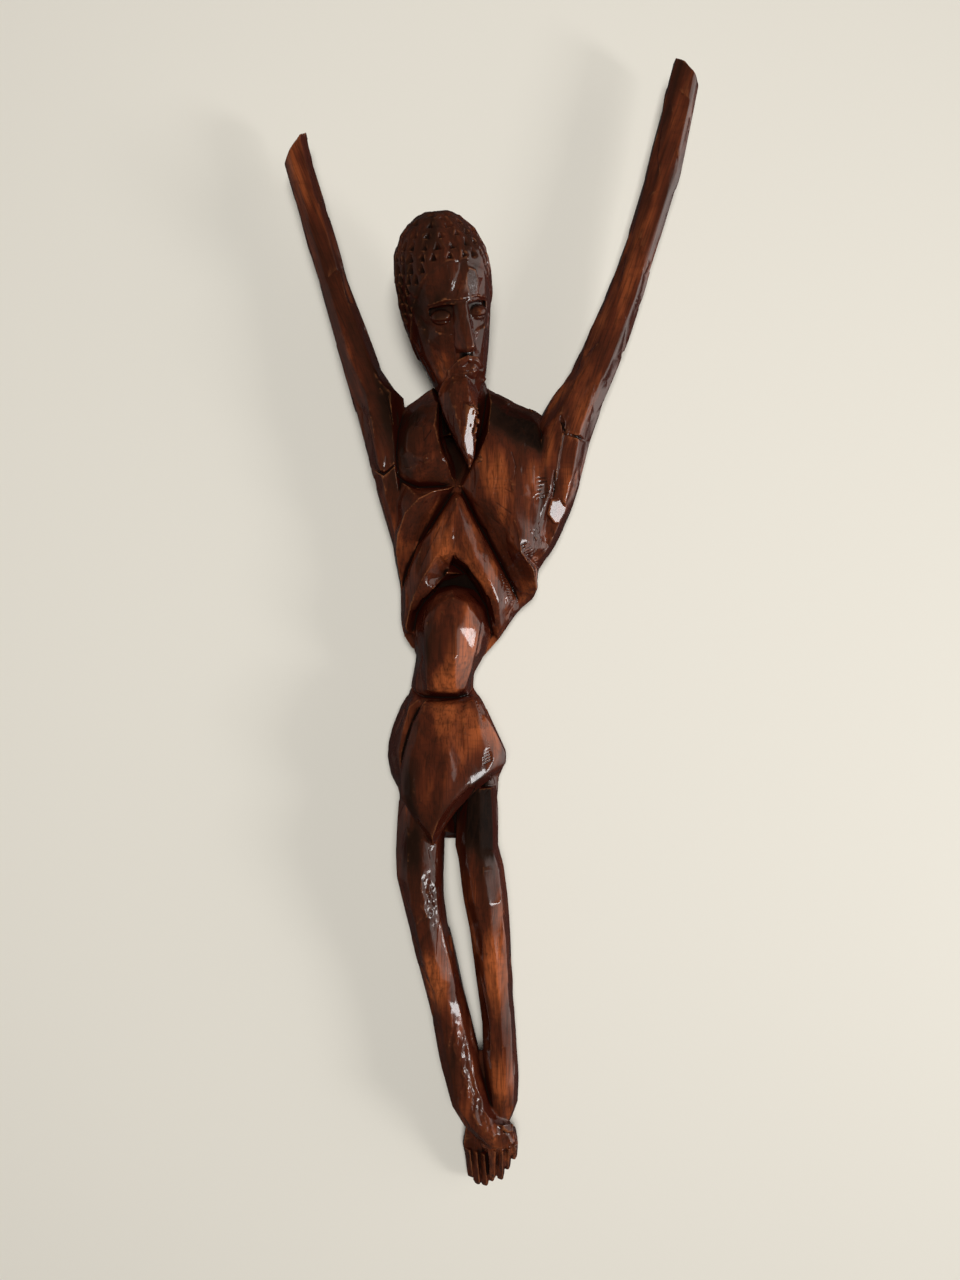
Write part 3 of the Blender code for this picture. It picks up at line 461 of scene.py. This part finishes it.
profile = add_node(tree, "ShaderNodeMapRange", {
    "Value": nearest.outputs["Distance"], "From Max": half_width.outputs["Value"],
    "To Min": 1.0, "To Max": 0.0}, interpolation_type="SMOOTHSTEP")
kept = add_node(tree, "GeometryNodeStoreNamedAttribute", {
    "Geometry": source["Geometry"], "Name": source["Kept as"],
    "Value": profile.outputs["Result"]}, data_type="FLOAT", domain="POINT")
depth = add_node(tree, "ShaderNodeMath", {
    0: profile.outputs["Result"], 1: source["Cut depth"]}, operation="MULTIPLY")
inwards = add_node(tree, "ShaderNodeMath", {0: depth.outputs["Value"], 1: -1.0},
                   operation="MULTIPLY")
step = add_node(tree, "ShaderNodeVectorMath", {
    0: normal.outputs["Normal"], "Scale": inwards.outputs["Value"]}, operation="SCALE")
scored = add_node(tree, "GeometryNodeSetPosition", {
    "Geometry": kept.outputs["Geometry"], "Offset": step.outputs["Vector"]})
end_tree(tree, scored.outputs["Geometry"])
for cut_sizes in cuts:
    work(figure, tree, cut_sizes)
for line_object in (strokes, cracks, scores):
    bpy.data.objects.remove(line_object)

# The edges are painted pale: partly wear from handling, partly a painted highlight where the
# edges catch the light. A point stands out from the mean of those around it there.
EDGE_MEAN_ROUNDS = 6
EDGE_FROM = 0.00009
EDGE_TO = 0.00026

sizes = {"Mean rounds": EDGE_MEAN_ROUNDS, "Edge from": EDGE_FROM, "Edge to": EDGE_TO}
tree, source = new_tree("worn_and_highlit_edges", sizes)
place = add_node(tree, "GeometryNodeInputPosition")
normal = add_node(tree, "GeometryNodeInputNormal")
mean = add_node(tree, "GeometryNodeBlurAttribute", {
    "Value": place.outputs["Position"], "Iterations": source["Mean rounds"]},
    data_type="FLOAT_VECTOR")
stand_out = add_node(tree, "ShaderNodeVectorMath", {
    0: place.outputs["Position"], 1: mean.outputs["Value"]}, operation="SUBTRACT")
height = add_node(tree, "ShaderNodeVectorMath", {
    0: stand_out.outputs["Vector"], 1: normal.outputs["Normal"]}, operation="DOT_PRODUCT")
edge = add_node(tree, "ShaderNodeMapRange", {
    "Value": height.outputs["Value"], "From Min": source["Edge from"],
    "From Max": source["Edge to"]})
kept = add_node(tree, "GeometryNodeStoreNamedAttribute", {
    "Geometry": source["Geometry"], "Name": "edge", "Value": edge.outputs["Result"]},
    data_type="FLOAT", domain="POINT")
end_tree(tree, kept.outputs["Geometry"])
work(figure, tree, sizes)

# Fewer triangles will do, but the fine marks keep theirs, and so do the shaved places, so that
# they stay quite flat. Each face of the grid is two triangles.
MOST_TRIANGLES = 190000

is_fine = np.zeros(len(figure.data.vertices), dtype=bool)
for name in ("shaved", "stroke", "crack", "score"):
    values = np.empty(len(is_fine))
    figure.data.attributes[name].data.foreach_get("value", values)
    is_fine |= values > 0
fine_marks = figure.vertex_groups.new(name="fine_marks")
fine_marks.add(np.flatnonzero(is_fine).tolist(), 1.0, "REPLACE")
thin = figure.modifiers.new("fewer_triangles", "DECIMATE")
thin.vertex_group = fine_marks.name
thin.invert_vertex_group = True
thin.ratio = min(1.0, MOST_TRIANGLES / (2 * len(figure.data.polygons)))
bake(figure)

# Where the wood is shut in it is painted dark: this is painted shade in the recesses and nicks,
# along with some dirt and thick varnish that gather there. Rays from each point say how much:
# long ones find the recesses beside the beard and under the ribs, short ones the nicks.
RAYS = 24
RECESS_REACH = 0.016
NICK_REACH = 0.0035
RAY_LIFT = 0.0002
SHUT_ROUNDS = 1
GOLDEN_ANGLE = math.pi * (3 - math.sqrt(5))

sizes = {
    "Rays": RAYS, "Ray length": RECESS_REACH, "Ray lift": RAY_LIFT, "Shut rounds": SHUT_ROUNDS,
    "Kept as": "recess"}
tree, source = new_tree("shut_in_places", sizes)
start = add_node(tree, "GeometryNodeRepeatInput")
end = add_node(tree, "GeometryNodeRepeatOutput")
start.pair_with_output(end)
end.repeat_items.clear()
end.repeat_items.new("FLOAT", "Shut")
tree.links.new(source["Rays"], start.inputs["Iterations"])
place = add_node(tree, "GeometryNodeInputPosition")
normal = add_node(tree, "GeometryNodeInputNormal")
lift = add_node(tree, "ShaderNodeVectorMath", {
    0: normal.outputs["Normal"], "Scale": source["Ray lift"]}, operation="SCALE")
eye = add_node(tree, "ShaderNodeVectorMath", {
    0: place.outputs["Position"], 1: lift.outputs["Vector"]}, operation="ADD")
count = add_node(tree, "ShaderNodeMath", {0: start.outputs["Iteration"], 1: 0.5}, operation="ADD")
share = add_node(tree, "ShaderNodeMath", {0: count.outputs["Value"], 1: source["Rays"]},
                 operation="DIVIDE")
out_share = add_node(tree, "ShaderNodeMath", {0: 1.0, 1: share.outputs["Value"]},
                     operation="SUBTRACT")
up = add_node(tree, "ShaderNodeMath", {0: out_share.outputs["Value"]}, operation="SQRT")
aside = add_node(tree, "ShaderNodeMath", {0: share.outputs["Value"]}, operation="SQRT")
turn = add_node(tree, "ShaderNodeMath", {0: count.outputs["Value"], 1: GOLDEN_ANGLE},
                operation="MULTIPLY")
cosine = add_node(tree, "ShaderNodeMath", {0: turn.outputs["Value"]}, operation="COSINE")
sine = add_node(tree, "ShaderNodeMath", {0: turn.outputs["Value"]}, operation="SINE")
ray_x = add_node(tree, "ShaderNodeMath", {
    0: aside.outputs["Value"], 1: cosine.outputs["Value"]}, operation="MULTIPLY")
ray_y = add_node(tree, "ShaderNodeMath", {
    0: aside.outputs["Value"], 1: sine.outputs["Value"]}, operation="MULTIPLY")
ray = add_node(tree, "ShaderNodeCombineXYZ", {
    "X": ray_x.outputs["Value"], "Y": ray_y.outputs["Value"], "Z": up.outputs["Value"]})
lean = add_node(tree, "FunctionNodeAlignRotationToVector", {"Vector": normal.outputs["Normal"]},
                axis="Z")
leaning_ray = add_node(tree, "FunctionNodeRotateVector", {
    "Vector": ray.outputs["Vector"], "Rotation": lean.outputs["Rotation"]})
cast = add_node(tree, "GeometryNodeRaycast", {
    "Target Geometry": source["Geometry"], "Source Position": eye.outputs["Vector"],
    "Ray Direction": leaning_ray.outputs["Vector"], "Ray Length": source["Ray length"]})
nearness = add_node(tree, "ShaderNodeMapRange", {
    "Value": cast.outputs["Hit Distance"], "From Max": source["Ray length"],
    "To Min": 1.0, "To Max": 0.0})
met = add_node(tree, "ShaderNodeMath", {
    0: cast.outputs["Is Hit"], 1: nearness.outputs["Result"]}, operation="MULTIPLY")
weighed = add_node(tree, "ShaderNodeMath", {0: met.outputs["Value"], 1: source["Rays"]},
                   operation="DIVIDE")
total = add_node(tree, "ShaderNodeMath", {
    0: start.outputs["Shut"], 1: weighed.outputs["Value"]}, operation="ADD")
tree.links.new(total.outputs["Value"], end.inputs["Shut"])
even = add_node(tree, "GeometryNodeBlurAttribute", {
    0: end.outputs["Shut"], "Iterations": source["Shut rounds"]}, data_type="FLOAT")
kept = add_node(tree, "GeometryNodeStoreNamedAttribute", {
    "Geometry": source["Geometry"], "Name": source["Kept as"], "Value": even.outputs["Value"]},
    data_type="FLOAT", domain="POINT")
end_tree(tree, kept.outputs["Geometry"])
work(figure, tree, sizes)
work(figure, tree, {**sizes, "Ray length": NICK_REACH, "Kept as": "nick"})

# The grain runs up the trunk and forks into the arms, so it leans with each of them.
SHOULDER_Y = 0.085
LEFT_ARM_LEAN = -0.41
RIGHT_ARM_LEAN = 0.33
LEFT_OF_HEAD = (-0.055, -0.035)
RIGHT_OF_HEAD = (0.000, 0.025)
PITH = (-0.018, 0.0, 0.014)

spots = vertex_places(figure)
rise = np.clip(spots[:, 1] - SHOULDER_Y, 0, None)
in_left_arm = 1 - np.clip(
    (spots[:, 0] - LEFT_OF_HEAD[0]) / (LEFT_OF_HEAD[1] - LEFT_OF_HEAD[0]), 0, 1)
in_right_arm = np.clip(
    (spots[:, 0] - RIGHT_OF_HEAD[0]) / (RIGHT_OF_HEAD[1] - RIGHT_OF_HEAD[0]), 0, 1)
grain_place = spots - PITH
grain_place[:, 0] -= rise * (LEFT_ARM_LEAN * in_left_arm + RIGHT_ARM_LEAN * in_right_arm)
store(figure, "grain", "FLOAT_VECTOR", grain_place)

# The heartwood is darker in some places and warmer in others, and the table also paints light and
# shade: the black at the crotch, under the ribs and beside the beard is painted shade, and some
# planes facing the left are painted darker, and some facing the right warmer and lighter, partly
# as light falls on them. Each is a place in the photograph, a reach in metres, and how much
# warmer (to 1) or darker (to -1) the wood is painted there.
TONES_AND_PAINTED_SHADING = (
    (470, 650, 0.008, 1.0), (450, 682, 0.006, 0.7), (432, 640, 0.008, -0.7),
    (488, 730, 0.008, 0.9), (458, 745, 0.010, 0.35), (412, 770, 0.009, -0.7),
    (438, 836, 0.006, 0.7), (474, 718, 0.005, -0.5), (484, 752, 0.005, -0.6),
    (412, 438, 0.012, -0.8), (502, 412, 0.012, -2.0), (524, 424, 0.008, -1.6),
    (395, 402, 0.009, -1.8), (500, 478, 0.009, 0.8), (568, 495, 0.006, 0.9),
    (547, 448, 0.005, 0.6), (538, 444, 0.0035, -2.2), (482, 580, 0.007, 0.8),
    (466, 545, 0.008, 0.2), (588, 385, 0.010, 0.4), (420, 850, 0.012, -0.9),
    (432, 975, 0.008, 0.5), (497, 985, 0.006, 0.5), (472, 806, 0.010, -2.2),
    (482, 800, 0.008, -1.6), (490, 812, 0.006, 0.5), (503, 1085, 0.006, 0.5),
    (490, 1108, 0.005, -0.8), (500, 1140, 0.005, 0.2), (470, 1142, 0.006, -0.3),
    (476, 1166, 0.008, 0.5), (502, 1160, 0.008, 0.5), (440, 225, 0.018, -0.8),
    (402, 300, 0.014, -0.9), (450, 300, 0.014, -0.5), (452, 275, 0.006, 0.4),
    (460, 578, 0.006, -2.2), (445, 588, 0.005, -1.5), (474, 590, 0.005, -1.5),
    (443, 440, 0.006, -2.0), (481, 432, 0.006, -2.2), (454, 468, 0.005, -1.4),
    (505, 905, 0.012, 0.5), (503, 985, 0.012, 0.5), (442, 965, 0.010, 0.5),
    (486, 832, 0.007, -1.5), (460, 740, 0.016, 0.3), (446, 540, 0.010, 0.4),
    (424, 950, 0.006, -0.3),
)

tone = np.zeros(len(spots))
for u, v, reach, amount in TONES_AND_PAINTED_SHADING:
    tone += amount * near_places(spots, ((u, v, reach),))
store(figure, "tone", "FLOAT", tone)

# Red hardwood under a clear gloss varnish. The wood is streaked along the grain, its year
# rings show where a plane cuts them, and the varnish lies on it wet and a little wavy. Real
# fibres are finer than these, which are drawn as coarse as they need to show.
DARK_WOOD = "#22130c"
RED_WOOD = "#522414"
WARM_WOOD = "#9c5029"
WORN_AND_HIGHLIT_WOOD = "#a8683f"
DEEP_RED_SIDE_SHADE = "#3a0d05"
# Black stain, which also paints the shade in the recesses and nicks.
BLACK_STAIN_AND_SHADE = "#100a07"
RING_WIDTH = 0.0024
STREAK_SIZE = (0.0032, 0.070, 0.0032)
FIBRE_SIZE = (0.00075, 0.022, 0.00075)
PATCH_SIZE = (0.011, 0.040, 0.011)
RIPPLE_SIZE = (0.0060, 0.0016, 0.0060)
WAVE_SIZE = 0.0045
FIBRE_HEIGHT = 0.00004
WAVE_HEIGHT = 0.00005
# A wave texture at a scale of 1 repeats at this distance.
WAVE_PERIOD = 2 * math.pi / 20
# Where the patches start and end, and the tone that they add or take off. Then the tones where
# the wood starts to be warm, dark, black or varnished, and where it is so fully.
PATCH_FROM = 0.30
PATCH_TO = 0.70
PATCH_TONE = 0.6
WARM_FROM = -0.1
WARM_TO = 1.1
DARK_FROM = 0.2
DARK_TO = -1.0
# Black is black stain, and also the painted shade of the recesses in the tone table.
BLACK_FROM = -0.9
BLACK_TO = -1.8
MOST_BLACK = 0.9
VARNISHED_FROM = -1.2
VARNISHED_TO = -0.7
# How far a side faces up where the painted deep red shade starts, and where it is full.
STEEP_FROM = 0.75
STEEP_TO = 0.35
MOST_SIDE_SHADE = 0.65
# A Mix node has two inputs and an output of its own for colours, at these places.
COLOUR_A, COLOUR_B, COLOUR_MIXED = 6, 7, 2


def linear(code):
    """The linear colour of an sRGB hex value."""
    shares = [int(code[i:i + 2], 16) / 255 for i in (1, 3, 5)]
    return [s / 12.92 if s <= 0.04045 else ((s + 0.055) / 1.055) ** 2.4 for s in shares] + [1.0]


wood.use_nodes = True
tree = wood.node_tree
tree.nodes.clear()
kept = {name: add_node(tree, "ShaderNodeAttribute", attribute_name=name).outputs
        for name in ("grain", "recess", "nick", "stroke", "crack", "score", "tone", "edge")}
looks = {}
for name, size, detail in (("streak", STREAK_SIZE, 3.0), ("fibre", FIBRE_SIZE, 2.0),
                           ("patch", PATCH_SIZE, 3.0), ("ripple", RIPPLE_SIZE, 1.0)):
    fitted = add_node(tree, "ShaderNodeMapping", {
        "Vector": kept["grain"]["Vector"], "Scale": [1 / length for length in size]})
    looks[name] = add_node(tree, "ShaderNodeTexNoise", {
        "Vector": fitted.outputs["Vector"], "Scale": 1.0, "Detail": detail}).outputs["Fac"]
rings = add_node(tree, "ShaderNodeTexWave", {
    "Vector": kept["grain"]["Vector"], "Scale": WAVE_PERIOD / RING_WIDTH, "Distortion": 3.0,
    "Detail": 2.0, "Detail Scale": 0.6},
    wave_type="RINGS", rings_direction="Y", wave_profile="SAW")
patchy = add_node(tree, "ShaderNodeMapRange", {
    "Value": looks["patch"], "From Min": PATCH_FROM, "From Max": PATCH_TO,
    "To Min": -PATCH_TONE, "To Max": PATCH_TONE})
toned = add_node(tree, "ShaderNodeMath", {
    0: patchy.outputs["Result"], 1: kept["tone"]["Fac"]}, operation="ADD")
warmth = add_node(tree, "ShaderNodeMapRange", {
    "Value": toned.outputs["Value"], "From Min": WARM_FROM, "From Max": WARM_TO},
    interpolation_type="SMOOTHSTEP")
# Dark and black tones are partly painted shade, in the recesses and on planes facing the left.
darkness = add_node(tree, "ShaderNodeMapRange", {
    "Value": toned.outputs["Value"], "From Min": DARK_FROM, "From Max": DARK_TO})
blackness = add_node(tree, "ShaderNodeMapRange", {
    "Value": toned.outputs["Value"], "From Min": BLACK_FROM, "From Max": BLACK_TO,
    "To Max": MOST_BLACK})
warmed = add_node(tree, "ShaderNodeMix", {
    "Factor": warmth.outputs["Result"], COLOUR_A: linear(RED_WOOD),
    COLOUR_B: linear(WARM_WOOD)}, data_type="RGBA")
darkened = add_node(tree, "ShaderNodeMix", {
    "Factor": darkness.outputs["Result"], COLOUR_A: warmed.outputs[COLOUR_MIXED],
    COLOUR_B: linear(DARK_WOOD)}, data_type="RGBA")
colour = add_node(tree, "ShaderNodeMix", {
    "Factor": blackness.outputs["Result"], COLOUR_A: darkened.outputs[COLOUR_MIXED],
    COLOUR_B: linear(BLACK_STAIN_AND_SHADE)}, data_type="RGBA").outputs[COLOUR_MIXED]
# Each layer colours the wood where its pattern is high: the pattern, where it starts and ends,
# how much it does at most, and the colour that it brings.
for pattern, low, high, most, shade in (
    (looks["streak"], 0.42, 0.74, 0.42, DARK_WOOD),
    (rings.outputs["Fac"], 0.50, 1.00, 0.25, DARK_WOOD),
    (looks["ripple"], 0.50, 0.75, 0.22, DARK_WOOD),
    (looks["fibre"], 0.47, 0.66, 0.46, DARK_WOOD),
    # The edge layer is partly wear and partly a painted highlight on the edges.
    (kept["edge"]["Fac"], 0.00, 1.00, 0.30, WORN_AND_HIGHLIT_WOOD),
    (kept["stroke"]["Fac"], 0.10, 0.80, 0.75, BLACK_STAIN_AND_SHADE),
    (kept["score"]["Fac"], 0.00, 1.00, 0.60, BLACK_STAIN_AND_SHADE),
    # The nick and recess layers are painted shade: they blacken the wood where rays find it shut
    # in.
    (kept["nick"]["Fac"], 0.12, 0.50, 0.85, BLACK_STAIN_AND_SHADE),
    (kept["recess"]["Fac"], 0.26, 0.54, 0.97, BLACK_STAIN_AND_SHADE),
    (kept["crack"]["Fac"], 0.20, 0.80, 0.95, BLACK_STAIN_AND_SHADE),
):
    share = add_node(tree, "ShaderNodeMapRange", {
        "Value": pattern, "From Min": low, "From Max": high, "To Max": most},
        interpolation_type="SMOOTHSTEP")
    colour = add_node(tree, "ShaderNodeMix", {
        "Factor": share.outputs["Result"], COLOUR_A: colour, COLOUR_B: linear(shade)},
        data_type="RGBA").outputs[COLOUR_MIXED]
# Steep sides are painted a deep red, the more the further they turn from facing up: painted shade
# of sides that turn from the light overhead.
own_place = add_node(tree, "ShaderNodeTexCoord")
facing = add_node(tree, "ShaderNodeSeparateXYZ", {"Vector": own_place.outputs["Normal"]})
steep_side_shade = add_node(tree, "ShaderNodeMapRange", {
    "Value": facing.outputs["Z"], "From Min": STEEP_FROM, "From Max": STEEP_TO,
    "To Max": MOST_SIDE_SHADE},
    interpolation_type="SMOOTHSTEP")
colour = add_node(tree, "ShaderNodeMix", {
    "Factor": steep_side_shade.outputs["Result"], COLOUR_A: colour, COLOUR_B: linear(DEEP_RED_SIDE_SHADE)},
    data_type="RGBA").outputs[COLOUR_MIXED]
waves = add_node(tree, "ShaderNodeTexNoise", {
    "Vector": own_place.outputs["Object"], "Scale": 1 / WAVE_SIZE, "Detail": 2.0})
fibre_bump = add_node(tree, "ShaderNodeBump", {
    "Height": looks["fibre"], "Distance": FIBRE_HEIGHT, "Strength": 1.0})
wave_bump = add_node(tree, "ShaderNodeBump", {
    "Height": waves.outputs["Fac"], "Distance": WAVE_HEIGHT, "Strength": 1.0,
    "Normal": fibre_bump.outputs["Normal"]})
# Where the wood is blackened the varnish has worn off; where the black is painted shade, the
# varnish is taken off with it.
varnish = add_node(tree, "ShaderNodeMapRange", {
    "Value": toned.outputs["Value"], "From Min": VARNISHED_FROM, "From Max": VARNISHED_TO})
shader = add_node(tree, "ShaderNodeBsdfPrincipled", {
    "Base Color": colour, "Roughness": 0.55, "Specular IOR Level": 0.04,
    "Coat Weight": varnish.outputs["Result"], "Coat Roughness": 0.10, "Coat IOR": 1.36,
    "Normal": fibre_bump.outputs["Normal"], "Coat Normal": wave_bump.outputs["Normal"]})
add_node(tree, "ShaderNodeOutputMaterial", {"Surface": shader.outputs["BSDF"]})
figure.data.shade_smooth()
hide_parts("carved_figure")
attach(figure, "root")

# The table top is a plain board with a matt pale laminate on it, which the varnish is too wavy
# to mirror.
TABLE_SIZE = 3.0
TABLE_COLOUR = "#e3ded2"
bpy.ops.mesh.primitive_plane_add(size=TABLE_SIZE)
table = bpy.context.object
table.name = "table_top"
board = bpy.data.materials.new("matt_pale_laminate")
board.use_nodes = True
board_shader = board.node_tree.nodes["Principled BSDF"]
board_shader.inputs["Base Color"].default_value = linear(TABLE_COLOUR)
board_shader.inputs["Roughness"].default_value = 0.55
table.data.materials.append(board)
table.visible_glossy = False

# Soft light falls from over the table and isn't mirrored in the varnish. A small window, low
# down at the right, is: it gives the gleams on the facets that lean its way.
for name, spot, size, power, mirrored in (
    ("overhead", (0.04, 0.12, 1.50), (0.36, 0.50), 18.5, False),
    ("window", (1.20, -0.40, 0.66), (0.28, 0.32), 6.0, True),
):
    lamp = bpy.data.lights.new(name, "AREA")
    lamp.shape = "RECTANGLE"
    lamp.size, lamp.size_y = size
    lamp.energy = power
    lamp_object = bpy.data.objects.new(name, lamp)
    bpy.context.scene.collection.objects.link(lamp_object)
    lamp_object.location = spot
    lamp_object.rotation_euler = Vector(spot).to_track_quat("Z", "Y").to_euler()
    lamp_object.visible_glossy = mirrored

# The room is dim overhead and at the left, and bright low down at the right.
ROOM_COLOUR = "#f4efe9"
ROOM_DIM = 0.05
ROOM_RIGHT = 2.2
RIGHT_FROM = 0.72
RIGHT_TO = 0.93
ROOM_LEFT = 0.20
LEFT_FROM = -0.80
LEFT_TO = -0.97
room = bpy.data.worlds.new("pale_room")
room.use_nodes = True
tree = room.node_tree
tree.nodes.clear()
looking = add_node(tree, "ShaderNodeTexCoord")
direction = add_node(tree, "ShaderNodeSeparateXYZ", {"Vector": looking.outputs["Generated"]})
right = add_node(tree, "ShaderNodeMapRange", {
    "Value": direction.outputs["X"], "From Min": RIGHT_FROM, "From Max": RIGHT_TO,
    "To Max": ROOM_RIGHT},
    interpolation_type="SMOOTHSTEP")
left = add_node(tree, "ShaderNodeMapRange", {
    "Value": direction.outputs["X"], "From Min": LEFT_FROM, "From Max": LEFT_TO,
    "To Max": ROOM_LEFT},
    interpolation_type="SMOOTHSTEP")
sides = add_node(tree, "ShaderNodeMath", {
    0: right.outputs["Result"], 1: left.outputs["Result"]}, operation="ADD")
strength = add_node(tree, "ShaderNodeMath", {0: sides.outputs["Value"], 1: ROOM_DIM},
                    operation="ADD")
glow = add_node(tree, "ShaderNodeBackground", {
    "Color": linear(ROOM_COLOUR), "Strength": strength.outputs["Value"]})
add_node(tree, "ShaderNodeOutputWorld", {"Surface": glow.outputs["Background"]})
bpy.context.scene.world = room
bpy.context.scene.view_settings.view_transform = "Standard"
